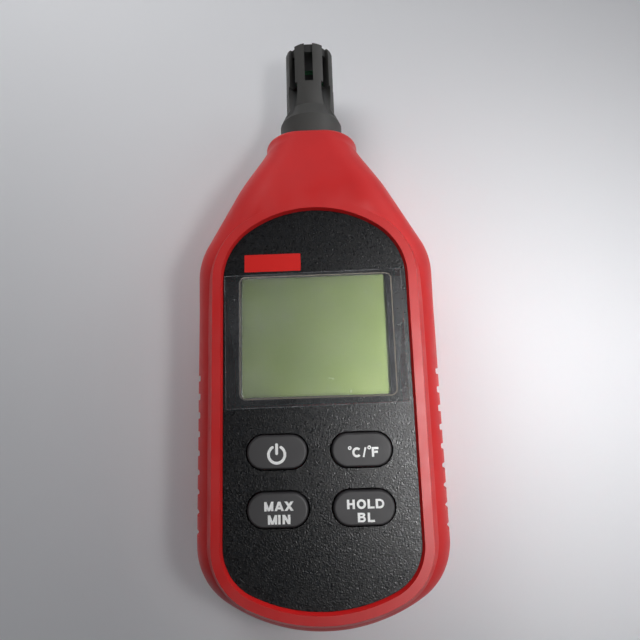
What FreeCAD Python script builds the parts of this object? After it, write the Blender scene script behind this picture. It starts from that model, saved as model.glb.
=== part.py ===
"""Handheld temperature and humidity meter, built as an assembly of separate pieces.

The meter lies on its back: X runs across it, Y along it towards the sensor tip, Z up through the
display.  The origin is the middle of its bounding box, on the plane of the flat back.
"""
import FreeCAD, Part
import Sketcher
import math
import os
import re
from FreeCAD import Vector

# ---------------------------------------------------------------------------------------------
# Driving dimensions, in millimetres and degrees.  A place called *_at is measured along Y from
# the heel, the lower end of the housing; heights are measured along Z from the flat back.
# ---------------------------------------------------------------------------------------------
SIZES = {
    # housing outline
    "depth": 29.0, "body_width": 56.8, "body_length": 116.3,
    "heel_radius": 40.0, "heel_corner": 14.4, "shoulder_radius": 16.0, "slope_angle": 30.4,
    "neck_width": 23.8, "neck_length": 4.6, "neck_blend": 4.0, "neck_edge": 1.8,
    "parting": 15.0, "front_round": 9.0, "back_round": 6.0, "neck_rise": 9.3, "neck_drop": 9.3,
    "flank_drop": 1.4, "crest_at": 95.0, "crest_radius": 30.0, "crest_angle": 3.5,
    "flank_blend": 60.0, "back_slope_at": 88.0,
    # shell walls
    "wall": 2.2, "front_wall": 1.8, "bulkhead_at": 101.6, "fit_gap": 0.1, "free_gap": 0.3,
    "press_gap": 0.02, "boss_sink": 0.5, "pilot_spare": 0.4,
    # grip grooves in both sides
    "groove_count": 9, "groove_first_at": 21.2, "groove_pitch": 4.26,
    "groove_width": 1.5, "groove_depth": 1.35, "groove_corner": 0.35,
    # front panel and the raised rim round it
    "panel_side": 7.65, "panel_length": 86.2, "panel_at": 6.9, "panel_thickness": 2.0,
    "panel_top_radius": 25.6, "panel_top_corner": 14.3,
    "panel_low_radius": 34.5, "panel_low_corner": 10.5,
    "rim_rise": 1.0, "rim_land": 2.35, "rim_flank": 2.3, "rim_drop": 4.6, "rim_draft": 0.35,
    # display window, lens and film
    "window_x": 0.2, "window_at": 63.8, "window_side": 3.25, "window_length": 28.1,
    "window_corner": 1.6, "lens_thickness": 1.0, "view_side": 0.9, "view_end": 0.35,
    "view_x": -0.4, "view_y": 0.1, "view_corner": 0.5, "film_x": -0.23, "film_y": -0.6,
    "film_side": 0.625, "film_overlap": 1.0, "film_thickness": 0.1, "film_turn": 0.67,
    # display stack
    "glass_side": 0.7, "glass_end": 0.85, "glass_thickness": 2.2, "polarizer_margin": 0.5,
    "polarizer_thickness": 0.3, "stack_gap": 0.15, "frame_wall": 2.0, "frame_ledge": 0.8,
    "guide_side": 2.75, "guide_end": 3.2, "guide_thickness": 2.6, "guide_corner": 0.6,
    "zebra_side": 2.0, "zebra_inset": 0.2, "zebra_thickness": 1.8,
    "led_size": 1.6, "led_spread": 12.0, "led_gap": 0.2,
    # keys
    "key_x": 9.06, "key_low_at": 26.9, "key_high_at": 38.7, "key_length": 12.9, "key_width": 7.1,
    "key_gap": 0.35, "key_proud": 0.9, "key_flange": 1.0, "key_flange_thickness": 1.2,
    "key_travel": 1.0, "key_crown": 0.5,
    # silicone keypad
    "mat_width": 34.4, "mat_low_at": 21.0, "mat_high_at": 44.8, "mat_thickness": 0.8, "mat_corner": 2.0,
    "dome_base": 4.1, "dome_top": 2.6, "dome_height": 2.8, "dome_wall": 0.8, "pill_radius": 1.6,
    "pill_thickness": 0.5,
    # main board
    "board_drop": 6.4, "board_thickness": 1.6, "board_gap": 1.0, "board_low_at": 8.0,
    "board_high_at": 99.5, "chip_x": -4.0, "chip_side": 10.0, "chip_thickness": 1.4,
    "chip_at": 76.0, "crystal_length": 8.0, "crystal_width": 3.6, "crystal_height": 2.5,
    "crystal_shift": 9.0, "capacitor_length": 3.2, "capacitor_width": 1.6,
    "capacitor_height": 1.2, "capacitor_x": 8.0, "capacitor_pitch": 3.0, "capacitor_count": 4,
    "board_screw_x": 17.0, "board_screw_low_at": 17.4, "board_screw_high_at": 85.0,
    "board_boss": 2.4, "board_pilot": 0.9, "board_screw_radius": 0.85, "board_screw_head": 1.8,
    "board_screw_grip": 3.4, "board_head_height": 1.2, "board_screw_gap": 0.2, "post_gap": 0.6,
    # housing screws
    "screw_x_low": 22.2, "screw_low_at": 22.0, "screw_x_high": 12.0, "screw_high_at": 96.4,
    "post_radius": 3.0, "screw_radius": 1.2, "screw_hole": 1.4, "screw_pilot": 1.25,
    "head_radius": 2.3, "head_height": 1.8, "head_sunk": 3.0, "head_bore": 2.6,
    "screw_length": 13.0,
    # battery bay, cells and contacts
    "cell_radius": 5.25, "cell_length": 44.5, "nub_radius": 1.9, "nub_length": 0.9,
    "cell_edge": 0.5, "cell_pitch": 11.0, "cell_count": 3, "cell_gap": 0.3, "bay_side": 0.4,
    "bay_low_at": 18.4, "bay_wall": 2.0, "bay_roof": 1.0, "contact_thickness": 0.5,
    "contact_side": 8.6, "spring_length": 4.0, "spring_wire": 0.3, "spring_radius": 2.9,
    "spring_turns": 9, "tail_width": 2.4,
    # battery door, its screw and the insert
    "door_thickness": 1.6, "door_ledge": 1.5, "door_gap": 0.2, "door_screw_at": 13.4,
    "door_low_at": 8.6, "door_corner": 2.0, "door_boss": 4.2, "door_boss_rise": 1.2,
    "tab_x": 10.0, "tab_width": 6.0, "tab_reach": 2.2, "tab_thickness": 1.0, "tab_lip": 1.0,
    "tab_root": 1.2, "tab_sink": 0.2, "tab_slot_top": 5.2, "ridge_count": 5, "ridge_at": 14.0,
    "ridge_pitch": 2.4, "ridge_width": 1.2, "ridge_depth": 0.4, "ridge_length": 14.0,
    "door_head": 2.4, "door_head_height": 1.2, "door_head_sunk": 0.2, "door_shank": 1.2,
    "door_shank_top": 5.2, "insert_radius": 2.6, "insert_bore": 1.6, "insert_length": 4.0,
    "insert_relief": 0.6, "tower_wall": 1.5, "tower_roof": 1.2, "tower_inset": 0.4,
    "slot_width": 0.8, "slot_depth": 0.6,
    # probe
    "collar_radius": 8.15, "collar_length": 5.2, "spigot_radius": 7.6, "spigot_at": 105.6,
    "flange_radius": 9.5, "flange_at": 107.0, "flange_width": 2.0, "cone_length": 3.8, "barrel_radius": 6.4,
    "cage_length": 18.0, "cage_bore": 4.3, "cap_thickness": 2.3, "cap_setback": 1.2,
    "tip_chamfer": 0.6, "slot_floor": 6.5, "vent_count": 8, "vent_width": 2.2,
    "scoop_run": 7.5, "scoop_length": 9.75, "scoop_radius": 1.7, "scoop_lift": 1.53,
    "scoop_start": 0.2,
    # sensor board and its header
    "sensor_board_width": 7.6, "sensor_board_thickness": 1.0, "sensor_board_low_at": 94.6,
    "sensor_board_high_at": 139.0, "sensor_side": 3.0, "sensor_height": 0.9,
    "sensor_at": 135.6, "header_at": 96.8, "header_width": 2.0, "header_pitch": 1.9,
    "pin_count": 4, "pin_side": 0.5, "pin_stand": 0.8, "pin_hole": 0.375,
}

# Values worked out from the driving dimensions and shared by several pieces.
DERIVED = {
    "overall": "body_length + collar_length + cone_length + cage_length",
    "heel": "0 - overall / 2",
    "neck_end": "heel + body_length",
    "tip": "heel + overall",
    "flank_top": "depth - flank_drop",
    "panel_face": "depth - rim_rise",
    "panel_floor": "panel_face - panel_thickness",
    "lens_floor": "panel_face - lens_thickness",
    "cavity_top": "panel_floor - front_wall",
    "board_top": "panel_floor - board_drop",
    "panel_width": "body_width - 2 * panel_side",
    "window_width": "panel_width - 2 * window_side",
    "window_y": "heel + window_at",
    "view_width": "window_width - 2 * view_side",
    "view_length": "window_length - 2 * view_end",
    "film_width": "panel_width - 2 * film_side",
    "film_length": "window_length + 2 * film_overlap",
    "glass_width": "window_width + 2 * glass_side",
    "glass_length": "window_length + 2 * glass_end",
    "frame_width": "glass_width + 2 * frame_wall",
    "frame_length": "glass_length + 2 * frame_wall",
    "guide_width": "glass_width - 2 * guide_side",
    "guide_length": "glass_length - 2 * guide_end",
    "zebra_width": "glass_width - 2 * zebra_side",
    "glass_floor": "panel_floor - stack_gap - polarizer_thickness - glass_thickness",
    "board_floor": "board_top - board_thickness",
    "flange_top": "cavity_top - free_gap",
    "flange_floor": "flange_top - key_flange_thickness",
    "pill_top": "board_top + key_travel + fit_gap + pill_thickness",
    "bay_half": "cell_pitch * cell_count / 2 + bay_side",
    "bay_length": "cell_length + 2 * contact_thickness + spring_length",
    "bay_low": "heel + bay_low_at",
    "bay_high": "bay_low + bay_length",
    "cell_z": "door_thickness + cell_gap + cell_radius",
    "bay_top": "cell_z + cell_radius + cell_gap",
    "door_high": "bay_high + door_ledge",
    "door_low": "heel + door_low_at",
    "door_half": "bay_half + door_ledge",
    "door_screw_y": "heel + door_screw_at",
    "insert_floor": "door_thickness + door_boss_rise + free_gap",
    "cone_at": "neck_end + collar_length",
    "barrel_at": "cone_at + cone_length",
    "sensor_face": "parting + sensor_board_thickness / 2",
}

NEAR = 0.01        # two places closer than this are taken as one
OVER = 1.0         # how far a cutting tool runs past what it cuts
EDGE_BAND = 0.4    # an edge this far inside the outline isn't an outer one
CROSS_SPAN, CROSS_THIN, CROSS_DEPTH = 1.2, 0.14, 0.5    # a cross recess, as shares of its head
SPRING_SEAT = 0.6  # how much of a spring wire's radius stands off its plate

doc = FreeCAD.newDocument("weather_meter")
sheet = doc.addObject("Spreadsheet::Sheet", "Sizes")
for row, (name, value) in enumerate(SIZES.items(), start=1):
    sheet.set("A%d" % row, name)
    sheet.set("B%d" % row, str(value))
    sheet.setAlias("B%d" % row, name)
derived = doc.addObject("App::VarSet", "Derived")
doc.recompute()


def formula(text):
    """Point every known name in a formula at its cell or derived value."""
    def link(found):
        word = found.group(0)
        if word in SIZES:
            return "Sizes." + word
        if word in DERIVED:
            return "Derived." + word
        return word
    return re.sub(r"[a-z_]+[a-z0-9_]*", link, text)


for name, text in DERIVED.items():
    derived.addProperty("App::PropertyFloat", name, "Derived")
    derived.setExpression(name, formula(text))
doc.recompute()


def val(name):
    """The present value of a driving or a derived dimension."""
    return float(getattr(sheet if name in SIZES else derived, name))


def bind(item, **texts):
    """Bind properties to formulas; x, y and z stand for the placement's base."""
    for prop, text in texts.items():
        path = ".Placement.Base." + prop if prop in "xyz" else prop
        item.setExpression(path, formula(str(text)))
    return item


def box(size, corner, name="Block"):
    item = doc.addObject("Part::Box", name)
    bind(item, Length=size[0], Width=size[1], Height=size[2])
    return bind(item, x=corner[0], y=corner[1], z=corner[2])


def centred(size, centre, floor, name="Block"):
    """A box centred on X and Y whose lower face is at a height."""
    corner = ("%s - (%s) / 2" % (centre[0], size[0]), "%s - (%s) / 2" % (centre[1], size[1]), floor)
    return box(size, corner, name)


def rod(radius, height, base, name="Rod"):
    item = doc.addObject("Part::Cylinder", name)
    bind(item, Radius=radius, Height=height)
    return bind(item, x=base[0], y=base[1], z=base[2])


def group(items, label):
    item = doc.addObject("Part::Compound", label)
    item.Links = items
    return named(item, label)


def fuse(items, name="Joined"):
    item = doc.addObject("Part::MultiFuse", name)
    item.Shapes = items
    return item


def cut(base, tools, name="Trimmed"):
    item = doc.addObject("Part::Cut", name)
    item.Base = base
    item.Tool = tools[0] if len(tools) == 1 else fuse(tools)
    return item


NODES = []


def named(item, label):
    """Mark an object as a finished piece: its label is the node's name."""
    item.Label = label
    NODES.append(item)
    return item


def free_shape(shape, label):
    item = doc.addObject("Part::Feature", label)
    item.Shape = shape
    item.Placement = FreeCAD.Placement()
    return named(item, label)


# ---------------------------------------------------------------------------------------------
# Outlines shared by the shells, the panel and the board
# ---------------------------------------------------------------------------------------------
def mirrored_wire(steps, z):
    """A closed wire from the right-hand half of an outline, its lines and arcs, and their mirror."""
    edges = []
    for side in (1, -1):
        for points in steps:
            ends = [Vector(side * x, y, z) for x, y in points]
            curve = Part.LineSegment(*ends) if len(ends) == 2 else Part.Arc(*ends)
            edges.append(curve.toShape())
    return Part.Wire(Part.__sortEdges__(edges))


def arc_points(centre, radius, start, end):
    """Start, middle and end of an arc, its angles in degrees."""
    angles = [math.radians(a) for a in (start, (start + end) / 2, end)]
    return [(centre[0] + radius * math.cos(a), centre[1] + radius * math.sin(a)) for a in angles]


def end_arcs(half, apex, radius, corner, side, inset):
    """The big arc and the corner arc of a rounded end, and the Y where the straight side starts.

    side is 1 for an upper end and -1 for a lower one.
    """
    centre_y = apex - side * radius
    reach = half - corner
    drop = math.sqrt((radius - corner) ** 2 - reach ** 2)
    corner_y = centre_y + side * drop
    turn = math.degrees(math.atan2(drop, reach))
    big = arc_points((0, centre_y), radius - inset, side * 90, side * turn)
    small = arc_points((reach, corner_y), corner - inset, side * turn, 0)
    return big, small, corner_y


def body_wire(inset, z):
    """The housing's outline in plan, moved inwards by an inset."""
    half, heel = val("body_width") / 2, val("heel")
    slope, neck = math.radians(val("slope_angle")), val("neck_width") / 2
    bend, blend = val("shoulder_radius"), val("neck_blend")
    root = val("neck_end") - val("neck_length")
    big, small, low_y = end_arcs(half, heel, val("heel_radius"), val("heel_corner"), -1, inset)
    knee = root - (half - neck) / math.tan(slope)
    bend_y = knee - bend * math.tan(slope / 2)
    shoulder = arc_points((half - bend, bend_y), bend - inset, 0, math.degrees(slope))
    blend_y = root + blend * math.tan(slope / 2)
    hollow = arc_points((neck + blend, blend_y), blend + inset, 180 + math.degrees(slope), 180)
    end = val("neck_end")
    side = [(half - inset, low_y), (half - inset, bend_y)]
    steps = [big, small, side, shoulder, [shoulder[2], hollow[0]], hollow,
             [hollow[2], (neck - inset, end)], [(neck - inset, end), (0, end)]]
    return mirrored_wire(steps, z)


def panel_wire(offset, z):
    """The front panel's outline in plan, moved outwards by an offset."""
    half, low = val("panel_width") / 2, val("heel") + val("panel_at")
    high = low + val("panel_length")
    low_big, low_small, low_y = end_arcs(
        half, low, val("panel_low_radius"), val("panel_low_corner"), -1, -offset)
    top_big, top_small, top_y = end_arcs(
        half, high, val("panel_top_radius"), val("panel_top_corner"), 1, -offset)
    side = [(half + offset, low_y), (half + offset, top_y)]
    return mirrored_wire([low_big, low_small, side, top_small, top_big], z)


def prism(wire, height):
    return Part.Face(wire).extrude(Vector(0, 0, height))


def post(x, y, low, high, radius):
    return Part.makeCylinder(radius, high - low, Vector(x, y, low))


def slab(low, high):
    """A box from its lowest to its highest corner."""
    return Part.makeBox(high[0] - low[0], high[1] - low[1], high[2] - low[2], Vector(*low))


def stadium(length, width, x, y, z, height):
    half, run = width / 2, (length - width) / 2
    edges = [Part.LineSegment(Vector(x - run, y + s * half, z), Vector(x + run, y + s * half, z))
             for s in (1, -1)]
    for s in (1, -1):
        edges.append(Part.Arc(Vector(x + s * run, y + half, z), Vector(x + s * (run + half), y, z),
                              Vector(x + s * run, y - half, z)))
    wire = Part.Wire(Part.__sortEdges__([e.toShape() for e in edges]))
    return prism(wire, height)


def profile_solid(points_and_arcs):
    """A solid right across the body from a closed side profile in Y and Z."""
    half = val("body_width")
    edges = []
    for points in points_and_arcs:
        ends = [Vector(-half, y, z) for y, z in points]
        curve = Part.LineSegment(*ends) if len(ends) == 2 else Part.Arc(*ends)
        edges.append(curve.toShape())
    face = Part.Face(Part.Wire(Part.__sortEdges__(edges)))
    return face.extrude(Vector(2 * half, 0, 0))


def front_profile():
    """The housing's front seen from the side: flat flank, gentle crest, slope down to the neck."""
    heel, end, low = val("heel") - OVER, val("neck_end"), val("parting") - OVER
    crest_y, radius = val("heel") + val("crest_at"), val("crest_radius")
    centre_z = val("depth") - radius
    rise = math.radians(val("crest_angle"))
    neck_z = val("parting") + val("neck_rise")
    across, up = end - crest_y, neck_z - centre_z
    fall = math.atan2(across, up) - math.acos(radius / math.hypot(across, up))
    crest = arc_points((crest_y, centre_z), radius, 90 + math.degrees(rise), 90 - math.degrees(fall))
    flat_z = val("flank_top")
    turn_y = crest[0][0] - (crest[0][1] - flat_z) / math.tan(rise)
    blend = val("flank_blend")
    reach = blend * math.tan(rise / 2)
    sag = arc_points((turn_y - reach, flat_z + blend), blend, -90, -90 + math.degrees(rise))
    return profile_solid([
        [(heel, low), (heel, flat_z)], [(heel, flat_z), sag[0]], sag, [sag[2], crest[0]], crest,
        [crest[2], (end, neck_z)], [(end, neck_z), (end, low)], [(end, low), (heel, low)]])


def back_profile(rise):
    """The housing's back seen from the side: flat, then rising to the neck."""
    heel, end, high = val("heel") - OVER, val("neck_end"), val("parting") + OVER
    turn_y = val("heel") + val("back_slope_at")
    neck_z = val("parting") - val("neck_drop") + rise
    angle = math.atan2(neck_z - rise, end - turn_y)
    blend = val("flank_blend")
    reach = blend * math.tan(angle / 2)
    sag = arc_points((turn_y - reach, rise + blend), blend, -90, -90 + math.degrees(angle))
    return profile_solid([
        [(heel, high), (heel, rise)], [(heel, rise), sag[0]], sag, [sag[2], (end, neck_z)],
        [(end, neck_z), (end, high)], [(end, high), (heel, high)]])


def shell_half(inset, low, high, radius, end, profile=None):
    """One half of the housing, or its cavity, as a full solid with its outer edge rounded."""
    block = prism(body_wire(inset, low), high - low)
    far = val("overall")
    block = block.common(slab((-far, -far, -far), (far, end, far)))
    if profile:
        block = block.common(profile)
    inside = prism(body_wire(inset + EDGE_BAND, -far), 2 * far)
    edges = []
    for edge in block.Edges:
        span = edge.LastParameter - edge.FirstParameter
        spots = [edge.valueAt(edge.FirstParameter + span * part) for part in (0.02, 0.5, 0.98)]
        on_parting = all(abs(p.z - val("parting")) < NEAR for p in spots)
        on_end = all(abs(p.y - end) < NEAR for p in spots)
        upright = math.hypot(spots[0].x - spots[2].x, spots[0].y - spots[2].y) < NEAR
        inner = inside.isInside(spots[1], NEAR, True)
        if not (on_parting or on_end or upright or inner):
            edges.append(edge)
    return block.makeFillet(radius, edges)


def soften_neck(block):
    """Round the edge where the neck's end face meets its sides."""
    end, parting = val("neck_end"), val("parting")
    rim = []
    for edge in block.Edges:
        middle = edge.valueAt((edge.FirstParameter + edge.LastParameter) / 2)
        spots = [v.Point for v in edge.Vertexes] + [middle]
        if all(abs(p.y - end) < NEAR for p in spots) and abs(middle.z - parting) > NEAR:
            rim.append(edge)
    return block.makeFillet(val("neck_edge"), rim)


def grip_grooves():
    """Upright channels with flat floors and rounded corners in both sides of the housing."""
    tools, reach = [], val("groove_depth") + OVER
    middle = val("body_width") / 2 - val("groove_depth") + reach / 2
    for index in range(int(val("groove_count"))):
        y = val("heel") + val("groove_first_at") + index * val("groove_pitch")
        for side in (1, -1):
            tools.append(rounded_plate((reach, val("groove_width")), (side * middle, y),
                                       -OVER, val("depth") + OVER, val("groove_corner")))
    return Part.makeCompound(tools)


def probe_seat():
    """The bore and the flange groove that hold the probe between the two shells."""
    gap, parting, heel = val("fit_gap"), val("parting"), val("heel")
    along = Vector(0, 1, 0)
    seat, end = heel + val("spigot_at"), val("neck_end") + OVER
    bore = Part.makeCylinder(val("spigot_radius") + gap, end - seat + gap,
                             Vector(0, seat - gap, parting), along)
    groove = Part.makeCylinder(val("flange_radius") + gap, val("flange_width") + 2 * gap,
                               Vector(0, heel + val("flange_at") - gap, parting), along)
    bulkhead = heel + val("bulkhead_at")
    passage = Part.makeCylinder(val("cage_bore") + gap, seat - bulkhead + 2 * OVER,
                                Vector(0, bulkhead - OVER, parting), along)
    return bore.fuse(groove).fuse(passage)


def screw_places():
    heel = val("heel")
    return [(side * val("screw_x_" + row), heel + val("screw_%s_at" % row))
            for row in ("low", "high") for side in (1, -1)]


def board_screw_places():
    heel = val("heel")
    return [(side * val("board_screw_x"), heel + val("board_screw_%s_at" % row))
            for row in ("low", "high") for side in (1, -1)]


KEYS = {"power": (-1, "high"), "unit": (1, "high"), "max_min": (-1, "low"), "hold": (1, "low")}


def key_place(name):
    side, row = KEYS[name]
    return side * val("key_x"), val("heel") + val("key_%s_at" % row)


def key_holes(z, height):
    grow = 2 * val("key_gap")
    return Part.makeCompound([
        stadium(val("key_length") + grow, val("key_width") + grow, *key_place(name), z, height)
        for name in KEYS])


# ---------------------------------------------------------------------------------------------
# Housing shells
# ---------------------------------------------------------------------------------------------
def front_housing():
    depth, parting, wall = val("depth"), val("parting"), val("wall")
    shell = shell_half(0, parting, depth + OVER, val("front_round"), val("neck_end"),
                       front_profile())
    shell = soften_neck(shell)
    land, flank = val("rim_land"), val("rim_land") + val("rim_flank")
    rim = Part.makeLoft([panel_wire(flank, depth - val("rim_drop")), panel_wire(land, depth)],
                        True, True)
    shell = shell.fuse(rim)
    gap, face, floor = val("fit_gap"), val("panel_face"), val("panel_floor")
    recess = prism(panel_wire(gap, floor), face - floor + NEAR)
    mouth = Part.makeLoft([panel_wire(gap, face), panel_wire(gap + val("rim_draft"), depth),
                           panel_wire(gap + val("rim_draft"), depth + OVER)], True, True)
    shell = shell.cut(recess.fuse(mouth))
    shell = shell.cut(shell_half(wall, parting, val("cavity_top"), val("front_round") - wall,
                                 val("heel") + val("bulkhead_at")))
    top, spare = val("cavity_top") + val("boss_sink"), val("pilot_spare")
    bosses = [post(x, y, val("board_top"), top, val("board_boss"))
              for x, y in board_screw_places()]
    bosses += [post(x, y, parting, top, val("post_radius")) for x, y in screw_places()]
    shell = shell.fuse(bosses)
    board = val("board_top")
    holes = [post(x, y, board - OVER, board + val("board_screw_grip") + spare,
                  val("board_pilot")) for x, y in board_screw_places()]
    reach = val("head_sunk") + val("head_height") + val("screw_length") + spare
    holes += [post(x, y, parting - OVER, reach, val("screw_pilot")) for x, y in screw_places()]
    centre = (val("window_x"), val("window_y"))
    half = [val("glass_width") / 2 + val("free_gap"), val("glass_length") / 2 + val("free_gap")]
    low = val("cavity_top") - OVER
    holes.append(slab((centre[0] - half[0], centre[1] - half[1], low),
                      (centre[0] + half[0], centre[1] + half[1], floor + OVER)))
    shell = shell.cut(Part.makeCompound(holes)).cut(key_holes(low, depth - low))
    return shell.cut(probe_seat()).cut(grip_grooves()).removeSplitter()


def rear_housing():
    parting, wall, heel = val("parting"), val("wall"), val("heel")
    shell = shell_half(0, -OVER, parting, val("back_round"), val("neck_end"), back_profile(0))
    outer = soften_neck(shell)
    shell = outer.cut(shell_half(wall, 0, parting, val("back_round") - wall,
                                 heel + val("bulkhead_at"), back_profile(wall)))
    thick, roof = val("bay_wall"), val("bay_top") + val("bay_roof")
    half, low, high = val("bay_half"), val("bay_low"), val("bay_high")
    tub = slab((-half - thick, low - thick, wall / 2), (half + thick, high + thick, roof))
    posts = [post(x, y, 0, parting, val("post_radius")).common(outer)
             for x, y in screw_places()]
    screw_y, insert = val("door_screw_y"), val("insert_floor")
    side = val("door_boss") + val("tower_wall")
    tower = slab((-side, val("door_low") + val("tower_inset"), wall / 2),
                 (side, low, insert + val("insert_length") + val("tower_roof")))
    shell = shell.fuse(posts + [tub, tower])
    gap = val("door_gap")
    fit, sleeve_top = val("fit_gap"), insert + val("insert_length")
    recess = slab((-val("door_half") - gap, val("door_low") - gap, -OVER),
                  (val("door_half") + gap, val("door_high") + gap, val("door_thickness") + fit))
    bay = slab((-half, low, -OVER), (half, high, val("bay_top")))
    holes = [recess, bay]
    holes.append(post(0, screw_y, 0, insert, val("door_boss") + gap + fit))
    holes.append(post(0, screw_y, 0, sleeve_top, val("insert_radius") + val("press_gap")))
    holes.append(post(0, screw_y, 0, sleeve_top + val("insert_relief"), val("insert_bore")))
    far, wide = val("door_high") + val("tab_reach") + 2 * gap, val("tab_width") / 2 + gap
    for side in (1, -1):
        x = side * val("tab_x")
        holes.append(slab((x - wide, high - gap, val("tab_lip")),
                          (x + wide, far, val("tab_slot_top"))))
    sunk = val("head_sunk") + val("head_height")
    for x, y in screw_places():
        holes.append(post(x, y, -OVER, sunk, val("head_bore")))
        holes.append(post(x, y, 0, parting + OVER, val("screw_hole")))
    for x, y in tail_places():
        wide, thin = val("tail_width") / 2 + gap, val("contact_thickness")
        holes.append(slab((x - wide, y - gap, val("bay_top") - OVER),
                          (x + wide, y + thin + gap, parting + OVER)))
    shell = shell.cut(Part.makeCompound(holes))
    return shell.cut(probe_seat()).cut(grip_grooves()).removeSplitter()


# ---------------------------------------------------------------------------------------------
# Front panel, lens and film
# ---------------------------------------------------------------------------------------------
def rounded_plate(size, centre, z, height, corner):
    block = slab((centre[0] - size[0] / 2, centre[1] - size[1] / 2, z),
                 (centre[0] + size[0] / 2, centre[1] + size[1] / 2, z + height))
    upright = [e for e in block.Edges if abs(e.tangentAt(e.FirstParameter).z) > 0.9]
    return block.makeFillet(corner, upright)


def front_panel():
    floor, face = val("panel_floor"), val("panel_face")
    panel = prism(panel_wire(0, floor), face - floor)
    centre = (val("window_x"), val("window_y"))
    window = rounded_plate((val("window_width"), val("window_length")), centre,
                           val("lens_floor"), val("depth"), val("window_corner"))
    view = rounded_plate((val("view_width"), val("view_length")),
                         (centre[0] + val("view_x"), centre[1] + val("view_y")),
                         floor - OVER, val("depth"), val("view_corner"))
    return panel.cut(window).cut(view).cut(key_holes(floor - OVER, val("depth")))


def body_on_plane(label):
    """A new body and the horizontal plane of its own origin."""
    body = doc.addObject("PartDesign::Body", label)
    return body, [f for f in body.Origin.OriginFeatures if f.Role == "XY_Plane"][0]


def rectangle_sketch(body, plane, width, length):
    """A rectangle centred on the body's origin, its sides bound to formulas."""
    sketch = body.newObject("Sketcher::SketchObject", "Outline")
    sketch.AttachmentSupport = [(plane, "")]
    sketch.MapMode = "FlatFace"
    corners = [Vector(-1, -1, 0), Vector(1, -1, 0), Vector(1, 1, 0), Vector(-1, 1, 0)]
    for index in range(4):
        sketch.addGeometry(Part.LineSegment(corners[index], corners[(index + 1) % 4]), False)
    for index in range(4):
        sketch.addConstraint(Sketcher.Constraint("Coincident", index, 2, (index + 1) % 4, 1))
    for index, kind in enumerate(("Horizontal", "Vertical", "Horizontal", "Vertical")):
        sketch.addConstraint(Sketcher.Constraint(kind, index))
    sketch.addConstraint(Sketcher.Constraint("Symmetric", 0, 1, 1, 2, -1, 1))
    wide = sketch.addConstraint(Sketcher.Constraint("DistanceX", 0, 1, 0, 2, 2.0))
    long = sketch.addConstraint(Sketcher.Constraint("DistanceY", 1, 1, 1, 2, 2.0))
    sketch.setExpression("Constraints[%d]" % wide, formula(width))
    sketch.setExpression("Constraints[%d]" % long, formula(length))
    return sketch


def pad(body, sketch, height):
    item = body.newObject("PartDesign::Pad", "Pad")
    item.Profile = sketch
    bind(item, Length=height)
    doc.recompute()
    return item


def plate(label, width, length, height, centre, floor, corner=None, turn=None):
    """A flat sheet as a PartDesign body: sketch, pad and, where asked, rounded corners."""
    body, plane = body_on_plane(label)
    last = pad(body, rectangle_sketch(body, plane, width, length), height)
    if corner:
        upright = ["Edge%d" % (n + 1) for n, e in enumerate(last.Shape.Edges)
                   if abs(e.tangentAt(e.FirstParameter).z) > 0.9]
        rounding = body.newObject("PartDesign::Fillet", "Corners")
        rounding.Base = (last, upright)
        bind(rounding, Radius=corner)
    if turn:
        body.Placement = FreeCAD.Placement(Vector(), FreeCAD.Rotation(Vector(0, 0, 1), val(turn)))
    bind(body, x=centre[0], y=centre[1], z=floor)
    return named(body, label)


def display_pieces():
    centre = ("window_x", "window_y")
    plate("display_lens", "window_width - 2 * fit_gap", "window_length - 2 * fit_gap",
          "lens_thickness", centre, "lens_floor", "window_corner - fit_gap")
    plate("screen_film", "film_width", "film_length", "film_thickness",
          ("film_x", "window_y + film_y"), "panel_face", None, "film_turn")
    plate("lcd_glass", "glass_width", "glass_length", "glass_thickness", centre, "glass_floor")
    plate("lcd_polarizer", "glass_width - 2 * polarizer_margin",
          "glass_length - 2 * polarizer_margin", "polarizer_thickness", centre,
          "glass_floor + glass_thickness")
    plate("backlight_guide", "guide_width", "guide_length", "guide_thickness", centre, "board_top",
          "guide_corner")
    outer = centred(("frame_width", "frame_length", "flange_top - board_top"), centre, "board_top")
    light = centred(("glass_width - 2 * frame_ledge", "glass_length + 2 * fit_gap", "depth"),
                    centre, "board_top - depth / 2")
    pocket = centred(("glass_width + 2 * fit_gap", "glass_length + 2 * fit_gap", "depth"),
                     centre, "glass_floor")
    named(cut(outer, [light, pocket], "lcd_frame"), "lcd_frame")
    height = "glass_floor - board_top"
    apart = "(glass_length - zebra_thickness - 2 * zebra_inset)"
    strips = [centred(("zebra_width", "zebra_thickness", height),
                      ("window_x", "window_y + %d * %s / 2" % (side, apart)),
                      "board_top", "Strip") for side in (1, -1)]
    group(strips, "zebra_strips")
    lamps = [centred(("led_size", "led_size * 2", "led_size"),
                     ("window_x + guide_width / 2 + led_size / 2 + led_gap",
                      "window_y + %d * led_spread / 2" % side),
                     "board_top", "Lamp") for side in (1, -1)]
    group(lamps, "backlight_leds")


# ---------------------------------------------------------------------------------------------
# Keys and keypad
# ---------------------------------------------------------------------------------------------
def key_cap(name):
    x, y = key_place(name)
    low, top = val("flange_floor"), val("panel_face") + val("key_proud")
    edge = val("key_flange")
    cap = stadium(val("key_length"), val("key_width"), x, y, low, top - low)
    crown = [e for e in cap.Edges if all(abs(v.Point.z - top) < 1e-6 for v in e.Vertexes)]
    cap = cap.makeFillet(val("key_crown"), crown)
    flange = stadium(val("key_length") + 2 * edge, val("key_width") + 2 * edge, x, y, low,
                     val("key_flange_thickness"))
    return cap.fuse(flange).removeSplitter()


def revolved(profile, x, y):
    """A round solid about an upright axis from its half section of radius and height."""
    points = [Vector(x + r, y, z) for r, z in profile]
    face = Part.Face(Part.makePolygon(points + points[:1]))
    return face.revolve(Vector(x, y, 0), Vector(0, 0, 1), 360)


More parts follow.
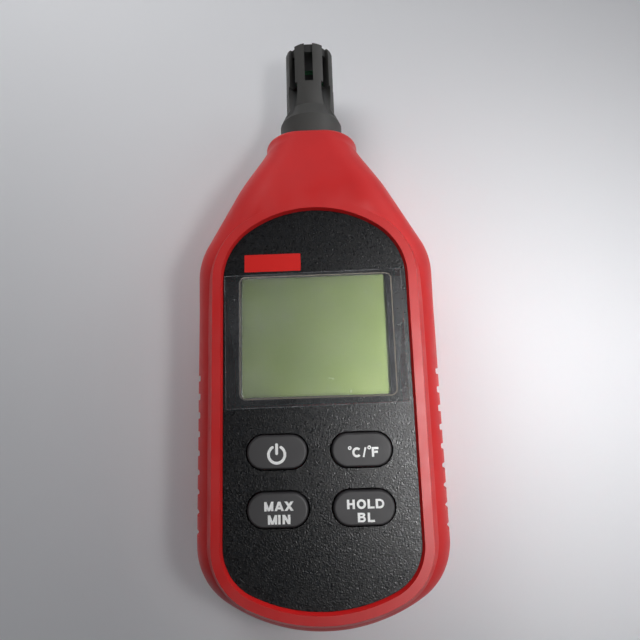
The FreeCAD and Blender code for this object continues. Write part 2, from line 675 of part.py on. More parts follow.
def key_dome(name):
    x, y = key_place(name)
    low, mat = val("board_top"), val("board_top") + val("mat_thickness")
    base, top, thick = val("dome_base"), val("dome_top"), val("dome_wall")
    high, roof = low + val("dome_height"), val("pill_top")
    return revolved([(base - thick, low), (base, low), (base, mat), (top, high), (0, high),
                     (0, roof), (top - thick, roof), (base - thick, mat)], x, y)


def key_pill(name):
    x, y = key_place(name)
    high = val("pill_top")
    return post(x, y, high - val("pill_thickness"), high, val("pill_radius"))


def keypad():
    for name in KEYS:
        free_shape(key_cap(name), name + "_key")
        free_shape(key_dome(name), name + "_dome")
        free_shape(key_pill(name), name + "_pill")
    half, heel = val("mat_width") / 2, val("heel")
    mat = rounded_plate((2 * half, val("mat_high_at") - val("mat_low_at")),
                        (0, heel + (val("mat_high_at") + val("mat_low_at")) / 2),
                        val("board_top"), val("mat_thickness"), val("mat_corner"))
    holes = [post(*key_place(name), 0, val("depth"), val("dome_base") + val("fit_gap"))
             for name in KEYS]
    free_shape(mat.cut(Part.makeCompound(holes)), "keypad_mat")


# ---------------------------------------------------------------------------------------------
# Main board and what is soldered or screwed to it
# ---------------------------------------------------------------------------------------------
def header_pin_places():
    count = int(val("pin_count"))
    y = val("heel") + val("header_at")
    return [((index - (count - 1) / 2) * val("header_pitch"), y) for index in range(count)]


def main_board():
    heel, low = val("heel"), val("board_floor")
    blank = prism(body_wire(val("wall") + val("board_gap"), low), val("board_thickness"))
    far, high = val("body_width"), val("depth")
    blank = blank.common(slab((-far, heel + val("board_low_at"), 0),
                              (far, heel + val("board_high_at"), high)))
    round_post = val("post_radius") + val("post_gap")
    round_screw = val("board_screw_radius") + val("board_screw_gap")
    holes = [post(x, y, 0, high, round_post) for x, y in screw_places()]
    holes += [post(x, y, 0, high, round_screw) for x, y in board_screw_places()]
    holes += [post(x, y, 0, high, val("pin_hole")) for x, y in header_pin_places()]
    return blank.cut(Part.makeCompound(holes))


def screw(x, y, seat, head_radius, head_height, shank_radius, length):
    """A cross-head screw driven upwards: its head hangs below the seat."""
    body = post(x, y, seat - head_height, seat, head_radius)
    body = body.fuse(post(x, y, seat - NEAR, seat + length, shank_radius))
    arm, thin = head_radius * CROSS_SPAN / 2, head_radius * CROSS_THIN
    low, deep = seat - head_height - OVER, seat - head_height * (1 - CROSS_DEPTH)
    cross = slab((x - arm, y - thin, low), (x + arm, y + thin, deep))
    return body.cut(cross.fuse(slab((x - thin, y - arm, low), (x + thin, y + arm, deep))))


def electronics():
    free_shape(main_board(), "main_board")
    free_shape(Part.makeCompound([
        screw(x, y, val("board_floor"), val("board_screw_head"), val("board_head_height"),
              val("board_screw_radius"), val("board_thickness") + val("board_screw_grip"))
        for x, y in board_screw_places()]), "board_screws")
    named(centred(("chip_side", "chip_side", "chip_thickness"), ("chip_x", "heel + chip_at"),
                  "board_floor - chip_thickness", "microcontroller"), "microcontroller")
    crystal = centred(("crystal_length", "crystal_width", "crystal_height"),
                      ("chip_x", "heel + chip_at + crystal_shift"),
                      "board_floor - crystal_height", "Crystal")
    capacitors = [centred(("capacitor_length", "capacitor_width", "capacitor_height"),
                          ("capacitor_x", "heel + chip_at + %d * capacitor_pitch" % (index - 1)),
                          "board_floor - capacitor_height", "Capacitor")
                  for index in range(int(val("capacitor_count")))]
    group([crystal] + capacitors, "board_parts")


# ---------------------------------------------------------------------------------------------
# Battery bay: cells, contacts, door, its screw and insert
# ---------------------------------------------------------------------------------------------
def cell_columns():
    """Each cell's X and the end, 1 towards the tip or -1, where its raised contact lies."""
    count = int(val("cell_count"))
    return [((index - (count - 1) / 2) * val("cell_pitch"), 1 if index % 2 == 0 else -1)
            for index in range(count)]


def cell(x, end):
    radius, length, nub = val("cell_radius"), val("cell_length"), val("nub_length")
    z, thick = val("cell_z"), val("contact_thickness")
    top = val("bay_high") - thick if end > 0 else val("bay_low") + thick
    along = Vector(0, -end, 0)
    edge = val("cell_edge")
    stud = Part.makeCylinder(val("nub_radius"), nub + edge, Vector(x, top, z), along)
    can = Part.makeCylinder(radius, length - nub, Vector(x, top - end * nub, z), along)
    rims = [e for e in can.Edges if e.Closed]
    return can.makeFillet(edge, rims).fuse(stud).removeSplitter()


def tail_places():
    """Where the strips of the first and last contact rise to the board."""
    columns = cell_columns()
    high = val("bay_high") - val("contact_thickness")
    return [(columns[0][0], high), (columns[-1][0], high)]


def contact_plate(x, end):
    side, thick, z = val("contact_side"), val("contact_thickness"), val("cell_z")
    y = val("bay_high") - thick if end > 0 else val("bay_low")
    strip = slab((x - side / 2, y, z - side / 2), (x + side / 2, y + thick, z + side / 2))
    for tail_x, tail_y in tail_places():
        if end > 0 and abs(tail_x - x) < NEAR:
            wide = val("tail_width") / 2
            strip = strip.fuse(slab((x - wide, y, z), (x + wide, y + thick, val("board_floor"))))
    return strip


def contact_spring(x, end):
    """A coil spring on its plate, wound as close turns that narrow towards the cell."""
    z, wire, turns = val("cell_z"), val("spring_wire"), int(val("spring_turns"))
    start = val("bay_high") if end > 0 else val("bay_low")
    first = val("contact_thickness") + wire * SPRING_SEAT
    pitch = (val("contact_thickness") + val("spring_length") - wire - first) / (turns - 1)
    rings = [Part.makeTorus(val("spring_radius") - index * wire / 2, wire,
                            Vector(x, start - end * (first + index * pitch), z), Vector(0, 1, 0))
             for index in range(turns)]
    return contact_plate(x, end).fuse(rings)


def battery_pieces():
    for index, (x, end) in enumerate(cell_columns(), start=1):
        free_shape(cell(x, end), "battery_%d" % index)
    free_shape(Part.makeCompound([contact_plate(x, end) for x, end in cell_columns()]),
               "battery_contacts")
    free_shape(Part.makeCompound([contact_spring(x, -end) for x, end in cell_columns()]),
               "battery_springs")


def battery_door():
    half, low, high = val("door_half"), val("door_low"), val("door_high")
    thick, corner = val("door_thickness"), val("door_corner")
    door = slab((-half, low, 0), (half, high, thick))
    lower = [e for e in door.Edges if abs(e.tangentAt(e.FirstParameter).z) > 0.9
             and e.Vertexes[0].Point.y < low + NEAR]
    door = door.makeFillet(corner, lower)
    y, gap = val("door_screw_y"), val("free_gap")
    door = door.fuse(post(0, y, 0, thick + val("door_boss_rise"), val("door_boss")))
    seat = val("door_head_sunk") + val("door_head_height")
    holes = [post(0, y, -OVER, seat, val("door_head") + gap),
             post(0, y, 0, val("depth"), val("door_shank") + gap)]
    lip, root = val("tab_lip") + gap, high - val("tab_root")
    top = lip + val("tab_thickness")
    for side in (1, -1):
        x, wide = side * val("tab_x"), val("tab_width") / 2
        door = door.fuse(slab((x - wide, root, thick - val("tab_sink")), (x + wide, high, top)))
        door = door.fuse(slab((x - wide, root, lip), (x + wide, high + val("tab_reach"), top)))
    reach = val("ridge_length") / 2
    for index in range(int(val("ridge_count"))):
        ridge_y = low + val("ridge_at") + index * val("ridge_pitch")
        holes.append(slab((-reach, ridge_y, -OVER),
                          (reach, ridge_y + val("ridge_width"), val("ridge_depth"))))
    return door.cut(Part.makeCompound(holes)).removeSplitter()


def door_screw():
    y, low = val("door_screw_y"), val("door_head_sunk")
    seat = low + val("door_head_height")
    body = post(0, y, low, seat, val("door_head"))
    body = body.fuse(post(0, y, seat - NEAR, val("door_shank_top"), val("door_shank")))
    reach, half = val("door_head") + OVER, val("slot_width") / 2
    return body.cut(slab((-reach, y - half, -OVER), (reach, y + half, low + val("slot_depth"))))


def door_pieces():
    free_shape(battery_door(), "battery_door")
    free_shape(door_screw(), "door_screw")
    y, low = "door_screw_y", "insert_floor"
    sleeve = rod("insert_radius", "insert_length", ("0", y, low))
    bore = rod("insert_bore", "depth", ("0", y, "0"))
    named(cut(sleeve, [bore], "door_insert"), "door_insert")


# ---------------------------------------------------------------------------------------------
# Probe: cage, sensor board, sensor and header
# ---------------------------------------------------------------------------------------------
def sensor_cage():
    parting, heel = val("parting"), val("heel")
    seat, shoulder = heel + val("spigot_at"), val("neck_end") + val("fit_gap")
    cone, barrel, tip = val("cone_at"), val("barrel_at"), val("tip")
    spigot, collar = val("spigot_radius"), val("collar_radius")
    thin, bevel = val("barrel_radius"), val("tip_chamfer")
    bore, cap = val("cage_bore"), tip - val("cap_thickness")
    half = [(bore, seat), (spigot, seat), (spigot, shoulder), (collar, shoulder), (collar, cone),
            (thin, barrel), (thin, tip - bevel), (thin - bevel, tip), (0, tip), (0, cap), (bore, cap)]
    points = [Vector(r, y, parting) for r, y in half]
    cage = Part.Face(Part.makePolygon(points + points[:1]))
    cage = cage.revolve(Vector(0, 0, parting), Vector(0, 1, 0), 360)
    along, start = Vector(0, 1, 0), Vector(0, heel + val("flange_at"), parting)
    width = val("flange_width")
    flange = Part.makeCylinder(val("flange_radius"), width, start, along)
    cage = cage.fuse(flange.cut(Part.makeCylinder((bore + spigot) / 2, width, start, along)))
    inner = thin - val("cap_setback")
    floor = barrel + val("slot_floor")
    step, wide = 360 / val("vent_count"), val("vent_width")
    tools = []
    dip = math.atan2(thin - bore, val("scoop_run"))
    start = Vector(0, floor + val("scoop_start"), bore + val("scoop_lift"))
    scoop = Part.makeCylinder(val("scoop_radius"), val("scoop_length"), start,
                              Vector(0, -math.cos(dip), math.sin(dip)))
    for index in range(int(val("vent_count"))):
        vent = slab((-wide / 2, floor, 0), (wide / 2, cap, thin + OVER))
        open_end = slab((-wide / 2, cap - NEAR, inner), (wide / 2, tip + OVER, thin + OVER))
        tool = vent.fuse(open_end)
        if index % 2 == 1:
            tool = tool.fuse(scoop)
        tool.rotate(Vector(0, 0, 0), Vector(0, 1, 0), index * step)
        tool.translate(Vector(0, 0, parting))
        tools.append(tool)
    return cage.cut(Part.makeCompound(tools)).removeSplitter()


def probe_pieces():
    free_shape(sensor_cage(), "sensor_cage")
    heel = val("heel")
    low, high = heel + val("sensor_board_low_at"), heel + val("sensor_board_high_at")
    half, thick = val("sensor_board_width") / 2, val("sensor_board_thickness")
    face = val("sensor_face")
    strip = slab((-half, low, face - thick), (half, high, face))
    holes = [post(x, y, 0, val("depth"), val("pin_hole")) for x, y in header_pin_places()]
    free_shape(strip.cut(Part.makeCompound(holes)), "sensor_board")
    named(centred(("sensor_side", "sensor_side", "sensor_height"), ("0", "heel + sensor_at"),
                  "sensor_face", "humidity_sensor"), "humidity_sensor")
    count, pitch, wide = int(val("pin_count")), val("header_pitch"), val("header_width")
    y, pin = heel + val("header_at"), val("pin_side") / 2
    reach, stand = count * pitch / 2, val("pin_stand")
    block = slab((-reach, y - wide / 2, face), (reach, y + wide / 2, val("board_floor")))
    pins = [slab((x - pin, y - pin, face - thick - stand),
                 (x + pin, y + pin, val("board_top") + stand)) for x, y in header_pin_places()]
    free_shape(block.fuse(pins).removeSplitter(), "sensor_header")


# ---------------------------------------------------------------------------------------------
# Assembly
# ---------------------------------------------------------------------------------------------
free_shape(front_housing(), "front_housing")
free_shape(rear_housing(), "rear_housing")
free_shape(front_panel(), "front_panel")
display_pieces()
keypad()
electronics()
battery_pieces()
door_pieces()
free_shape(Part.makeCompound([
    screw(x, y, val("head_sunk") + val("head_height"), val("head_radius"), val("head_height"),
          val("screw_radius"), val("screw_length")) for x, y in screw_places()]), "housing_screws")
probe_pieces()
doc.recompute()

faults = ["%s is %s" % (item.Label, item.State) for item in doc.Objects
          if "Invalid" in item.State or "Error" in item.State]
faults += [item.Label + " has no valid shape" for item in NODES
           if item.Shape.isNull() or not item.Shape.isValid() or not item.Shape.Solids]
if faults:
    raise RuntimeError("; ".join(faults))

os.makedirs("parts", exist_ok=True)
for item in NODES:
    item.Shape.exportStep("parts/%s.step" % item.Label)
    print("%-18s %2d solid(s) %10.1f mm3" % (item.Label, len(item.Shape.Solids), item.Shape.Volume))
whole = Part.makeCompound([item.Shape for item in NODES]).optimalBoundingBox()
print("overall %.2f x %.2f x %.2f mm" % (whole.XLength, whole.YLength, whole.ZLength))
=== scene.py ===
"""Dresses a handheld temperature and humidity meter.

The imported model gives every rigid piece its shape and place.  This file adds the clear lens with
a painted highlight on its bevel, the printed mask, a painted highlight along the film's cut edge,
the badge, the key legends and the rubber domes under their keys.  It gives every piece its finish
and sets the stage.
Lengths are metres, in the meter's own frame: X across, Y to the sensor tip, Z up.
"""
import math
import bmesh
import bpy
from bpy.props import FloatProperty, FloatVectorProperty, PointerProperty
from mathutils import Color, Euler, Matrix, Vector


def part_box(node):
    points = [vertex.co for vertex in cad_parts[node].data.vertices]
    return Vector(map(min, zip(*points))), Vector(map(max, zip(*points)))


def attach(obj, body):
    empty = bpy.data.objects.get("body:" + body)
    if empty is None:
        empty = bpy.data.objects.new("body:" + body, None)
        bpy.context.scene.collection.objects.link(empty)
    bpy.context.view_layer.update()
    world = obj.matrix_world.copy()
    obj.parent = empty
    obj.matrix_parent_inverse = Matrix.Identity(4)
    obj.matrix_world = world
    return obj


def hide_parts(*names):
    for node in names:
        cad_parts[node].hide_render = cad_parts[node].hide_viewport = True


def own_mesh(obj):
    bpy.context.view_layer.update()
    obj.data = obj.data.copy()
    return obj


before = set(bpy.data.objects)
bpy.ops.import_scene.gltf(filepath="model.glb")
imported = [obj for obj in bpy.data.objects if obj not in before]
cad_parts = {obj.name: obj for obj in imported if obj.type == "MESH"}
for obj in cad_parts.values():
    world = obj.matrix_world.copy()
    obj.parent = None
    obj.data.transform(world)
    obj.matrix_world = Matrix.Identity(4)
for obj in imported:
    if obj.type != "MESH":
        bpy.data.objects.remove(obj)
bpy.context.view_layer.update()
MM = 0.001
LAYER = 0.001 * MM    # how much higher each printed stroke lies than the one before
KEYS = ("power", "unit", "max_min", "hold")
CLOUD = (0.3, 0.7)    # nearly all of a noise texture's values lie between these
SENSOR_WIDTH = 36.0   # of the camera, in millimetres
NEAREST = 0.005       # how close to the camera things still show, in metres

# Display colours, from 0 to 1, of the screws and of what the housing and the cage hide
SOLDER_MASK, TRACK = (0.05, 0.25, 0.14), (0.08, 0.34, 0.19)
SCREW_STEEL, PLATED_STEEL, BRASS = (0.55, 0.55, 0.56), (0.7, 0.7, 0.7), (0.78, 0.6, 0.3)
SENSOR_CAP, HEADER, CHIP, CARBON = ((v, v, v) for v in (0.05, 0.04, 0.06, 0.07))
CELL_SLEEVE, SILICONE, ZEBRA = (0.12, 0.16, 0.3), (0.75, 0.76, 0.78), (0.5, 0.35, 0.4)
LAMP_PHOSPHOR = (0.9, 0.8, 0.3)
FRAME_WHITE, FRAME_SHADE = (0.85, 0.85, 0.83), (0.8, 0.8, 0.78)

bl_info = {
    "name": "Weather meter dressing",
    "version": (1, 0, 0),
    "blender": (4, 5, 0),
    "location": "View3D > Sidebar > Meter",
    "description": "Finishes, legends, lens, film and stage for a handheld weather meter",
    "category": "Object",
}


# ---------------------------------------------------------------------------------------------
# Kinds of property
# ---------------------------------------------------------------------------------------------
def length(name, about, millimetres):
    return FloatProperty(name=name, description=about, default=millimetres * MM, unit="LENGTH")


def share(name, about, value):
    return FloatProperty(name=name, description=about, default=value, min=0, max=1,
                         subtype="FACTOR")


def number(name, about, value):
    return FloatProperty(name=name, description=about, default=value)


def position(name, about, *metres):
    return FloatVectorProperty(name=name, description=about, default=metres, subtype="XYZ",
                               unit="LENGTH")


def tint(name, about, red, green, blue):
    """A display colour, each channel given from 0 to 255."""
    return FloatVectorProperty(name=name, description=about, min=0, max=1, subtype="COLOR_GAMMA",
                               default=(red / 255, green / 255, blue / 255))


def linear(colour):
    """A display colour as the shader's four linear channels."""
    return (*Color(colour).from_srgb_to_scene_linear(), 1.0)


# ---------------------------------------------------------------------------------------------
# Settings
# ---------------------------------------------------------------------------------------------
class HousingLook(bpy.types.PropertyGroup):
    red: tint("Red", "Moulded shell", 216, 27, 27)
    deep_red: tint("Deep red", "Cloudier patches of the shell", 208, 23, 24)
    roughness: share("Roughness", "How dull the shell is", 0.42)
    grain: length("Grain", "Size of the spark-eroded texture", 0.16)
    relief: share("Relief", "How deep the texture looks", 0.10)
    seam: length("Seam", "Line between the two shells", 0.12)
    seam_red: tint("Seam red", "Shade in that line", 70, 6, 7)


class PanelLook(bpy.types.PropertyGroup):
    black: tint("Black", "Ground of the front panel", 10, 10, 12)
    # Lighter grains: partly the sheet's own grain, partly painted glints.
    speck_and_glint: tint("Speck", "Bright grains in the panel", 44, 46, 49)
    roughness: share("Roughness", "How dull the panel is", 0.32)
    grain: length("Grain", "Size of the sparkling grains", 0.3)
    relief: share("Relief", "How deep the grains look", 0.9)
    badge: tint("Badge", "Printed rectangle above the window", 224, 20, 12)
    badge_width: length("Badge width", "Printed rectangle, across", 12.95)
    badge_height: length("Badge height", "Printed rectangle, along", 4.1)
    badge_corner: length("Badge corner", "Corner radius of the printed rectangle", 0.15)
    badge_shift: length("Badge shift", "Badge centre left of the window's centre", -9.65)
    badge_gap: length("Badge gap", "From the window's top edge to the badge", 1.0)
    ink: length("Ink", "Thickness of printed ink", 0.02)


class DisplayLook(bpy.types.PropertyGroup):
    bevel: length("Bevel", "Polished bevel round the lens", 0.3)
    corner: length("Corner", "Corner radius of the lens", 1.5)
    opening_width: length("Opening width", "Clear opening in the mask, across", 33.0)
    opening_length: length("Opening length", "Clear opening in the mask, along", 27.2)
    opening_corner: length("Opening corner", "Corner radius of that opening", 0.5)
    opening_x: length("Opening shift across", "Opening's middle from the lens's", -0.4)
    opening_y: length("Opening shift along", "Opening's middle from the lens's", 0.1)
    mask: tint("Mask", "Printed border under the lens", 12, 13, 14)
    # Colour of the painted highlight on the lens bevel.
    painted_bevel_highlight: tint("Bevel colour", "Light caught in the bevel", 172, 160, 144)
    liquid: tint("Liquid crystal", "Blank display", 86, 97, 60)
    liquid_deep: tint("Deep liquid crystal", "Blank display, darker patches", 78, 89, 53)
    film_veil: share("Film veil", "How much the film hides", 0.04)
    film_tint: tint("Film", "Colour of the film's haze", 210, 213, 218)
    # Width of the painted highlight along the film's cut edge.
    film_edge_highlight: length("Film edge", "Width of the film's bright cut edge", 0.13)


class KeyLook(bpy.types.PropertyGroup):
    grey: tint("Grey", "Moulded key", 45, 43, 45)
    roughness: share("Roughness", "How dull a key is", 0.55)
    white: tint("White", "Printed legends", 252, 252, 250)
    letter: length("Letter height", "Capitals on the lower keys", 1.88)
    letter_width: number("Letter width", "Widening of the lower keys' capitals", 1.1)
    small_letter: length("Small letter height", "Capitals on the unit key", 2.02)
    weight: share("Weight", "Width of an upright stroke, as a share of the height", 0.25)
    legend_rise: length("Legend rise", "Legends' middle above the key's", -0.5)
    legend_shift: length("Legend shift", "Legends' middle right of the key's", 0.3)
    row_spread: length("Row spread", "From the upper row's middle to the lower row's", 2.65)
    ring: length("Ring", "Radius of the power symbol's ring", 1.75)
    stroke: length("Stroke", "Line of the power symbol", 0.6)
    ring_gap: FloatProperty(name="Ring gap", description="Opening of the ring at the top",
                            default=math.radians(62), unit="ROTATION")


class ProbeLook(bpy.types.PropertyGroup):
    grey: tint("Grey", "Moulded sensor cage", 55, 54, 51)
    # Painted shade in the cage's bore: black within the bore radius, fading to the grey at the
    # barrel radius.
    bore_painted_shade: tint("Bore black", "Inside of the cage", 7, 8, 8)
    roughness: share("Roughness", "How dull the cage is", 0.5)
    bore: length("Bore", "Radius within which the cage is black", 4.4)
    barrel: length("Barrel", "Radius from which the cage is grey", 6.3)


class StageLook(bpy.types.PropertyGroup):
    floor: tint("Floor", "Pale paper", 246, 247, 250)
    floor_reach: length("Floor reach", "From the middle of the floor to its edge", 1200)
    camera_at: position("Camera place", "Where the camera stands", 0.00303, -0.02274, 0.13422)
    camera_turn: FloatVectorProperty(
        name="Camera turn", description="The camera's rotation", subtype="EULER",
        default=tuple(math.radians(a) for a in (9.684, 1.377, -1.779)))
    lens: number("Lens", "Focal length in millimetres", 27.0)
    sky: tint("Sky", "Light from all round", 236, 238, 243)
    sky_high: number("Bright wall", "Power of the brightest wall", 0.8)
    sky_low: number("Dim wall", "Power of the dimmest wall", 0.05)
    ceiling: share("Ceiling", "Light straight from above, as a share of the walls'", 0.03)
    bright_side: FloatVectorProperty(name="Bright side", description="Where the walls are bright",
                                     default=(0.5, 0.85, 0.0), subtype="DIRECTION")
    key_power: number("Key power", "Soft lamp overhead, in watts", 0.042)
    key_at: position("Key place", "Where that lamp hangs", 0.083, -0.02, 0.18)
    key_aim: position("Key aim", "What it points at", 0.066, -0.012, 0.0)
    key_side: length("Key side", "Side of that lamp", 35)
    key_spread: FloatProperty(name="Key spread", description="Angle of that lamp's beam",
                              default=math.radians(80), unit="ROTATION")
    sheen_power: number("Sheen power", "Lamp for gloss alone, in watts", 1.75)
    sheen_at: position("Sheen place", "Where that lamp hangs", 0.14, -0.04, 0.35)
    sheen_aim: position("Sheen aim", "What it points at", 0.01, -0.01, 0.0)
    sheen_length: length("Sheen length", "Length of that lamp", 180)
    sheen_width: length("Sheen width", "Width of that lamp", 60)
    back_power: number("Back power", "Soft lamp behind the tip, in watts", 0.13)
    back_at: position("Back place", "Where that lamp hangs", -0.085, 0.15, 0.15)
    back_aim: position("Back aim", "What it points at", -0.04, 0.06, 0.0)
    back_side: length("Back side", "Side of that lamp", 100)
    window_power: number("Window power", "Wide light from the side, in watts", 2.0)
    window_at: position("Window place", "Where that light stands", 1.0, 0.5, 0.5)
    window_aim: position("Window aim", "What it points at", 0.0, 0.05, 0.0)
    window_side: length("Window side", "Side of that light", 600)


GROUPS = {"housing": HousingLook, "panel": PanelLook, "display": DisplayLook, "keys": KeyLook,
          "probe": ProbeLook, "stage": StageLook}


def look(name):
    """The scene's settings of one group."""
    return getattr(bpy.context.scene, "meter_" + name)


# ---------------------------------------------------------------------------------------------
# Shader building
# ---------------------------------------------------------------------------------------------
class Finish:
    """A material under construction: a Principled shader and the textures that feed it."""

    def __init__(self, name, colour, roughness, **sockets):
        self.material = bpy.data.materials.new(name)
        self.material.use_nodes = True
        self.tree = self.material.node_tree
        self.shader = next(n for n in self.tree.nodes if n.type == "BSDF_PRINCIPLED")
        self.shader.inputs["Base Color"].default_value = linear(colour)
        self.shader.inputs["Roughness"].default_value = roughness
        for socket, value in sockets.items():
            self.shader.inputs[socket.replace("_", " ")].default_value = value
        self.place = self.add("ShaderNodeTexCoord").outputs["Object"]

    def add(self, kind, **inputs):
        """A new node; each input is a value or another node's output."""
        node = self.tree.nodes.new(kind)
        for socket, value in inputs.items():
            self.feed(node.inputs[socket.replace("_", " ")], value)
        return node

    def feed(self, socket, value):
        """Link a socket to another node's output, or set it to a plain value."""
        if isinstance(value, bpy.types.NodeSocket):
            self.tree.links.new(value, socket)
        else:
            socket.default_value = value

    def noise(self, size, detail=2.0, rough=0.5):
        """Cloudy noise whose features are about size metres across."""
        node = self.add("ShaderNodeTexNoise", Vector=self.place, Scale=1 / size, Detail=detail,
                        Roughness=rough)
        return node.outputs[0]

    def cells(self, size):
        """One random value in each cell about size metres across."""
        node = self.add("ShaderNodeTexVoronoi", Vector=self.place, Scale=1 / size)
        return self.add("ShaderNodeSeparateColor", Color=node.outputs["Color"]).outputs[0]

    def spread(self, value, low, high, to_low=0.0, to_high=1.0):
        """A value mapped from one range to another and held within it."""
        node = self.add("ShaderNodeMapRange", Value=value)
        for socket, end in zip(node.inputs[1:5], (low, high, to_low, to_high)):
            socket.default_value = end
        return node.outputs[0]

    def add_up(self, first, second):
        """The sum of two values."""
        node = self.tree.nodes.new("ShaderNodeMath")
        self.feed(node.inputs[0], first)
        self.feed(node.inputs[1], second)
        return node.outputs[0]

    def colours(self, factor, low, high):
        """Colour that runs from low to high with a factor; each end is a tint or a socket."""
        node = self.add("ShaderNodeMix")
        node.data_type = "RGBA"
        ends = [linear(c) if not isinstance(c, bpy.types.NodeSocket) else c for c in (low, high)]
        for socket, value in zip((node.inputs[0], node.inputs[6], node.inputs[7]),
                                 (factor, *ends)):
            self.feed(socket, value)
        return node.outputs[2]

    def bump(self, height, depth, strength=1.0, under=None):
        """A tilted normal: what is at height one stands depth above what is at nought."""
        node = self.add("ShaderNodeBump", Height=height, Distance=depth, Strength=strength)
        if under is not None:
            self.feed(node.inputs["Normal"], under)
        return node.outputs[0]

    def near_height(self, height, reach):
        """One within reach of a height, and nought elsewhere."""
        level_at = self.add("ShaderNodeSeparateXYZ", Vector=self.place).outputs["Z"]
        node = self.tree.nodes.new("ShaderNodeMath")
        node.operation = "COMPARE"
        for socket, value in zip(node.inputs, (level_at, height, reach)):
            self.feed(socket, value)
        return node.outputs[0]

    def set(self, socket, value):
        self.feed(self.shader.inputs[socket], value)

    def wander(self, noise, roughness, less, more):
        """Let the roughness wander with a noise, from less below a value to more above it."""
        self.set("Roughness", self.spread(noise, *CLOUD, roughness - less, roughness + more))

    def texture(self, height, depth, strength):
        self.set("Normal", self.bump(height, depth, strength))

    def clear_to_lamps(self):
        """Let light from lamps pass straight through, so that what lies behind stays lit."""
        output = next(n for n in self.tree.nodes if n.type == "OUTPUT_MATERIAL")
        ray = self.add("ShaderNodeLightPath").outputs["Is Shadow Ray"]
        mix = self.tree.nodes.new("ShaderNodeMixShader")
        self.feed(mix.inputs[0], ray)
        self.feed(mix.inputs[1], self.shader.outputs[0])
        self.feed(mix.inputs[2], self.tree.nodes.new("ShaderNodeBsdfTransparent").outputs[0])
        self.feed(output.inputs["Surface"], mix.outputs[0])


def dress(node, material):
    """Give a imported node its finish."""
    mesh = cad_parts[node].data
    mesh.materials.clear()
    mesh.materials.append(material)


# ---------------------------------------------------------------------------------------------
# Finishes
# ---------------------------------------------------------------------------------------------
def moulded_plastic(name, colour, other, roughness, grain, relief, seam=None):
    """Injection-moulded plastic: faint clouds of colour and a fine even texture.

    A seam is the height, the width and the shade of the line where two shells meet.
    """
    finish = Finish(name, colour, roughness, Specular_IOR_Level=0.4)
    clouds = finish.noise(14 * MM, 3.0)
    shade = finish.colours(finish.spread(clouds, 0.35, 0.7), colour, other)
    finish.wander(finish.noise(5 * MM, 4.0), roughness, 0.05, 0.06)
    skin = finish.bump(finish.noise(grain, 1.0), 0.02 * MM, relief)
    if seam is not None:
        line = finish.near_height(seam[0], seam[1] / 2)
        shade = finish.colours(line, shade, seam[2])
        skin = finish.bump(finish.spread(line, 0.0, 1.0, 1.0, 0.0), seam[1], 1.0, under=skin)
    finish.set("Base Color", shade)
    finish.set("Normal", skin)
    return finish.material


def cage_plastic(settings):
    """The probe's plastic, with painted shade in its bore: black near the axis, fading to grey
    outward.
    """
    low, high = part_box("sensor_cage")
    finish = Finish("probe_plastic", settings.grey, settings.roughness, Specular_IOR_Level=0.6)
    axis = finish.add("ShaderNodeVectorMath", Vector=finish.place)
    axis.operation = "SUBTRACT"
    axis.inputs[1].default_value = ((low.x + high.x) / 2, 0, (low.z + high.z) / 2)
    across = finish.add("ShaderNodeVectorMath", Vector=axis.outputs[0])
    across.operation = "MULTIPLY"
    across.inputs[1].default_value = (1, 0, 1)
    distance = finish.add("ShaderNodeVectorMath", Vector=across.outputs[0])
    distance.operation = "LENGTH"
    # Painted shade: the cage runs from black near its axis to grey at the barrel's radius.
    depth = finish.spread(distance.outputs["Value"], settings.bore, settings.barrel)
    finish.set("Base Color", finish.colours(depth, settings.bore_painted_shade, settings.grey))
    finish.wander(finish.noise(4 * MM, 3.0), settings.roughness, 0.05, 0.08)
    finish.texture(finish.noise(0.12 * MM, 1.0), 0.02 * MM, 0.2)
    return finish.material


def sparkling_panel(settings):
    """Dark textured sheet with bumped grains; a few grains are painted lighter, partly the sheet's
    grain and partly painted glints.
    """
    finish = Finish("panel_sheet", settings.black, settings.roughness, Specular_IOR_Level=0.3)
    grains = finish.cells(settings.grain)
    # A few grains painted lighter: partly grain, partly painted glints.
    few = finish.spread(grains, 0.68, 1.0)
    finish.set("Base Color", finish.colours(few, settings.black, settings.speck_and_glint))
    finish.set("Roughness", finish.spread(grains, 0.0, 1.0, settings.roughness + 0.12,
                                          settings.roughness - 0.12))
    relief = finish.noise(settings.grain * 1.15, 1.5)
    finish.texture(relief, 0.085 * MM, settings.relief)
    return finish.material


def ink(name, colour, roughness=0.5, gloss=0.5):
    """Screen-printed ink with a slightly uneven surface."""
    finish = Finish(name, colour, roughness, Specular_IOR_Level=gloss)
    uneven = finish.noise(0.4 * MM, 2.0)
    finish.wander(uneven, roughness, 0.08, 0.08)
    finish.texture(uneven, 0.01 * MM, 0.2)
    return finish.material


def clear_acrylic():
    """Polished clear plastic or glass with a few faint smears."""
    finish = Finish("clear_acrylic", (1, 1, 1), 0.02, Transmission_Weight=1.0, IOR=1.49)
    smears = finish.noise(6 * MM, 3.0)
    finish.set("Roughness", finish.spread(smears, 0.4, 0.8, 0.01, 0.05))
    finish.clear_to_lamps()
    return finish.material


def protective_film(settings):
    """Thin clear film: a light haze, slight waves and a few trapped specks."""
    finish = Finish("protective_film", settings.film_tint, 0.25)
    haze = finish.spread(finish.noise(9 * MM, 3.0), 0.3, 0.8, settings.film_veil * 0.6,
                         settings.film_veil * 1.6)
    specks = finish.spread(finish.cells(0.35 * MM), 0.9975, 0.999, 0, 0.25)
    finish.set("Alpha", finish.add_up(haze, specks))
    finish.texture(finish.noise(2.5 * MM, 2.0), 0.05 * MM, 0.3)
    return finish.material


